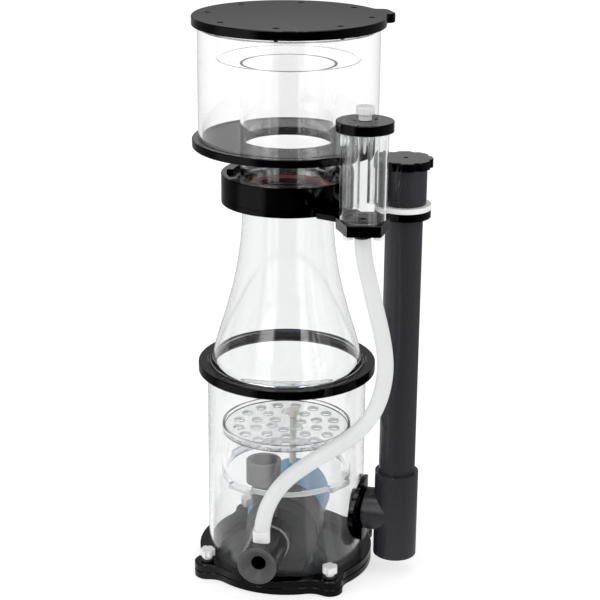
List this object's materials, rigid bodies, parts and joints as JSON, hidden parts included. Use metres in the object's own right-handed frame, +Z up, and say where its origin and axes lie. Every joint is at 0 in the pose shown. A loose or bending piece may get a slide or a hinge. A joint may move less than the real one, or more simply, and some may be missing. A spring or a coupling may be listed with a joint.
{
  "type": "protein skimmer",
  "caption": "In-sump protein skimmer: clear body tube and cone, twist-lock collection cup with lid, internal needle wheel pump, air silencer and turnable outlet pipe.",
  "frame": {"origin": "axis of the body tube at the underside of the base plate", "axes": "+Z up along the body tube, -Y towards the pump intake side, +X towards the outlet pipe"},
  "size_m": [0.2537, 0.2441, 0.6204],
  "materials": {
    "black_acrylic": "polished black cast acrylic",
    "clear_acrylic": "clear cast acrylic, slightly grey at the edges",
    "dark_pvc": "dark grey extruded PVC",
    "charcoal_plastic": "dark grey moulded plastic",
    "white_nylon": "white moulded nylon",
    "milky_silicone": "translucent milky silicone",
    "red_silicone": "red silicone",
    "blue_plastic": "light blue moulded plastic",
    "ivory_nylon": "ivory nylon",
    "black_rubber": "black rubber",
    "ceramic": "white ceramic",
    "magnet": "coated ferrite magnet",
    "stator_iron": "potted laminated stator"
  },
  "bodies": {
    "skimmer_body": {"base_plate": "black_acrylic", "body_flange": "black_acrylic", "join_ring": "black_acrylic", "collar_bracket": "black_acrylic", "neck_collar": "black_acrylic", "silencer_base": "black_acrylic", "silencer_cap": "black_acrylic", "standpipe_ring": "black_acrylic", "outlet_saddle": "black_acrylic", "body_tube": "clear_acrylic", "reaction_cone": "clear_acrylic", "silencer_tube": "clear_acrylic", "silencer_wide_tube": "clear_acrylic", "silencer_narrow_tube": "clear_acrylic", "bubble_plate": "clear_acrylic", "diffuser_skirt": "clear_acrylic", "branch_pipe": "dark_pvc", "outlet_tee": "dark_pvc", "standpipe": "dark_pvc", "venturi_nozzle": "charcoal_plastic", "pump_volute": "charcoal_plastic", "volute_cover": "charcoal_plastic", "pump_outlet_pipe": "charcoal_plastic", "outlet_diffuser": "charcoal_plastic", "pump_stand": "charcoal_plastic", "silencer_barb": "charcoal_plastic", "cable_gland": "charcoal_plastic", "thumb_screw_washers": "charcoal_plastic", "silencer_screws": "white_nylon", "glide_washer": "white_nylon", "hose_cuff": "white_nylon", "air_hose": "milky_silicone", "intake_seal": "milky_silicone", "motor_housing": "blue_plastic", "plate_post": "ivory_nylon", "base_gasket": "black_rubber", "outlet_gasket": "black_rubber", "pump_feet": "black_rubber", "pump_bushings": "ceramic", "stator_block": "stator_iron"},
    "level_control": {"level_knob": "black_acrylic", "level_sleeve": "dark_pvc", "wedge_pipe": "dark_pvc"},
    "air_valve": {"air_screw": "white_nylon"},
    "ring_seal": {"neck_o_ring": "red_silicone"},
    "cup": {"riser_neck": "clear_acrylic", "neck_lug_ring": "clear_acrylic", "cup_base_plate": "black_acrylic", "cup_wall": "clear_acrylic"},
    "lid_assembly": {"lid": "black_acrylic", "lid_splash_ring": "clear_acrylic", "lid_screws": "charcoal_plastic"},
    "impeller": {"needle_wheel": "charcoal_plastic", "impeller_shaft": "ceramic", "rotor_magnet": "magnet"},
    "plate_nut": {"thumb_nut": "ivory_nylon"},
    "base_screw_1": {"thumb_screw_1": "white_nylon"},
    "base_screw_2": {"thumb_screw_2": "white_nylon"},
    "base_screw_3": {"thumb_screw_3": "white_nylon"},
    "base_screw_4": {"thumb_screw_4": "white_nylon"}
  },
  "joints": [
    {"name": "cup_lift", "type": "slide", "parent": "skimmer_body", "child": "ring_seal", "axis": [0, 0, 1], "range_m": [0, 0.07]},
    {"name": "cup_twist", "type": "hinge", "parent": "ring_seal", "child": "cup", "pos_m": [0, 0, 0.44], "axis": [0, 0, 1], "range_deg": [0, 25]},
    {"name": "lid_lift", "type": "slide", "parent": "cup", "child": "lid_assembly", "axis": [0, 0, 1], "range_m": [0, 0.06]},
    {"name": "level_turn", "type": "hinge", "parent": "skimmer_body", "child": "level_control", "pos_m": [0.12301, -0.03158, 0.473], "axis": [0, 0, 1], "range_deg": [0, 180]},
    {"name": "air_screw_turn", "type": "hinge", "parent": "skimmer_body", "child": "air_valve", "pos_m": [0.0766, -0.1103, 0.54], "axis": [0, 0, 1], "continuous": true},
    {"name": "impeller_spin", "type": "hinge", "parent": "skimmer_body", "child": "impeller", "pos_m": [0, 0, 0.0564], "axis": [-0.2096, -0.9778, 0], "continuous": true},
    {"name": "plate_nut_turn", "type": "hinge", "parent": "skimmer_body", "child": "plate_nut", "pos_m": [0.0075, 0.02, 0.168], "axis": [0, 0, 1], "continuous": true},
    {"name": "base_screw_1_turn", "type": "hinge", "parent": "skimmer_body", "child": "base_screw_1", "pos_m": [-0.08704, -0.04924, 0.025], "axis": [0, 0, 1], "continuous": true},
    {"name": "base_screw_2_turn", "type": "hinge", "parent": "skimmer_body", "child": "base_screw_2", "pos_m": [0.04924, -0.08704, 0.025], "axis": [0, 0, 1], "continuous": true},
    {"name": "base_screw_3_turn", "type": "hinge", "parent": "skimmer_body", "child": "base_screw_3", "pos_m": [0.08704, 0.04924, 0.025], "axis": [0, 0, 1], "continuous": true},
    {"name": "base_screw_4_turn", "type": "hinge", "parent": "skimmer_body", "child": "base_screw_4", "pos_m": [-0.04924, 0.08704, 0.025], "axis": [0, 0, 1], "continuous": true}
  ]
}
